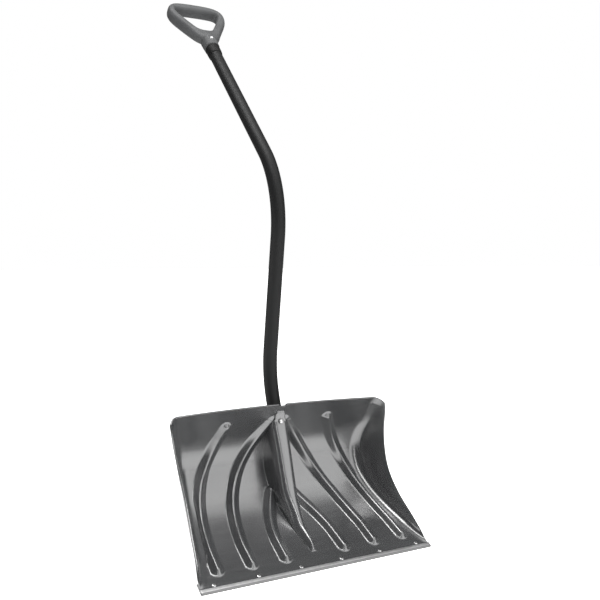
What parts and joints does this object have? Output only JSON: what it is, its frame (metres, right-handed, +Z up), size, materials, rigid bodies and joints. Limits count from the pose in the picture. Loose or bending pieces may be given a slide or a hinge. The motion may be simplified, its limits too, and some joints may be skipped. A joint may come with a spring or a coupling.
{
  "type": "snow shovel",
  "caption": "Ergonomic snow shovel: curved ribbed plastic scoop with a steel wear strip, bent round shaft in a socket and a D-shaped end grip.",
  "frame": {"origin": "middle of the lowest line of the wear strip's fold, the cutting edge that the shovel stands on", "axes": "+X across the blade to the right as seen from the open front of the scoop, -Y the way the scoop faces, +Z up with the shovel standing in its pushing attitude"},
  "size_m": [0.4572, 0.6562, 1.1442],
  "materials": {
    "blade_plastic": "moulded dark graphite plastic, semi-gloss, finely grained",
    "strip_steel": "galvanised sheet steel, dull",
    "rivet_metal": "bare domed rivet, satin",
    "sleeve_plastic": "dark extruded sleeve, satin",
    "core_steel": "mill finish tube",
    "grip_plastic": "moulded mid grey plastic, satin",
    "collar_plastic": "black moulded plastic, satin",
    "fastener_steel": "bright zinc plated"
  },
  "bodies": {
    "root": {"blade": "blade_plastic", "wear_strip": "strip_steel", "wear_strip_rivets": "rivet_metal", "shaft_sleeve": "sleeve_plastic", "shaft_core": "core_steel", "shaft_end_plug": "collar_plastic", "d_grip": "grip_plastic", "grip_collar": "collar_plastic", "grip_screw": "fastener_steel", "socket_bolt": "fastener_steel", "socket_washer": "fastener_steel", "socket_nut": "fastener_steel"}
  },
  "joints": []
}
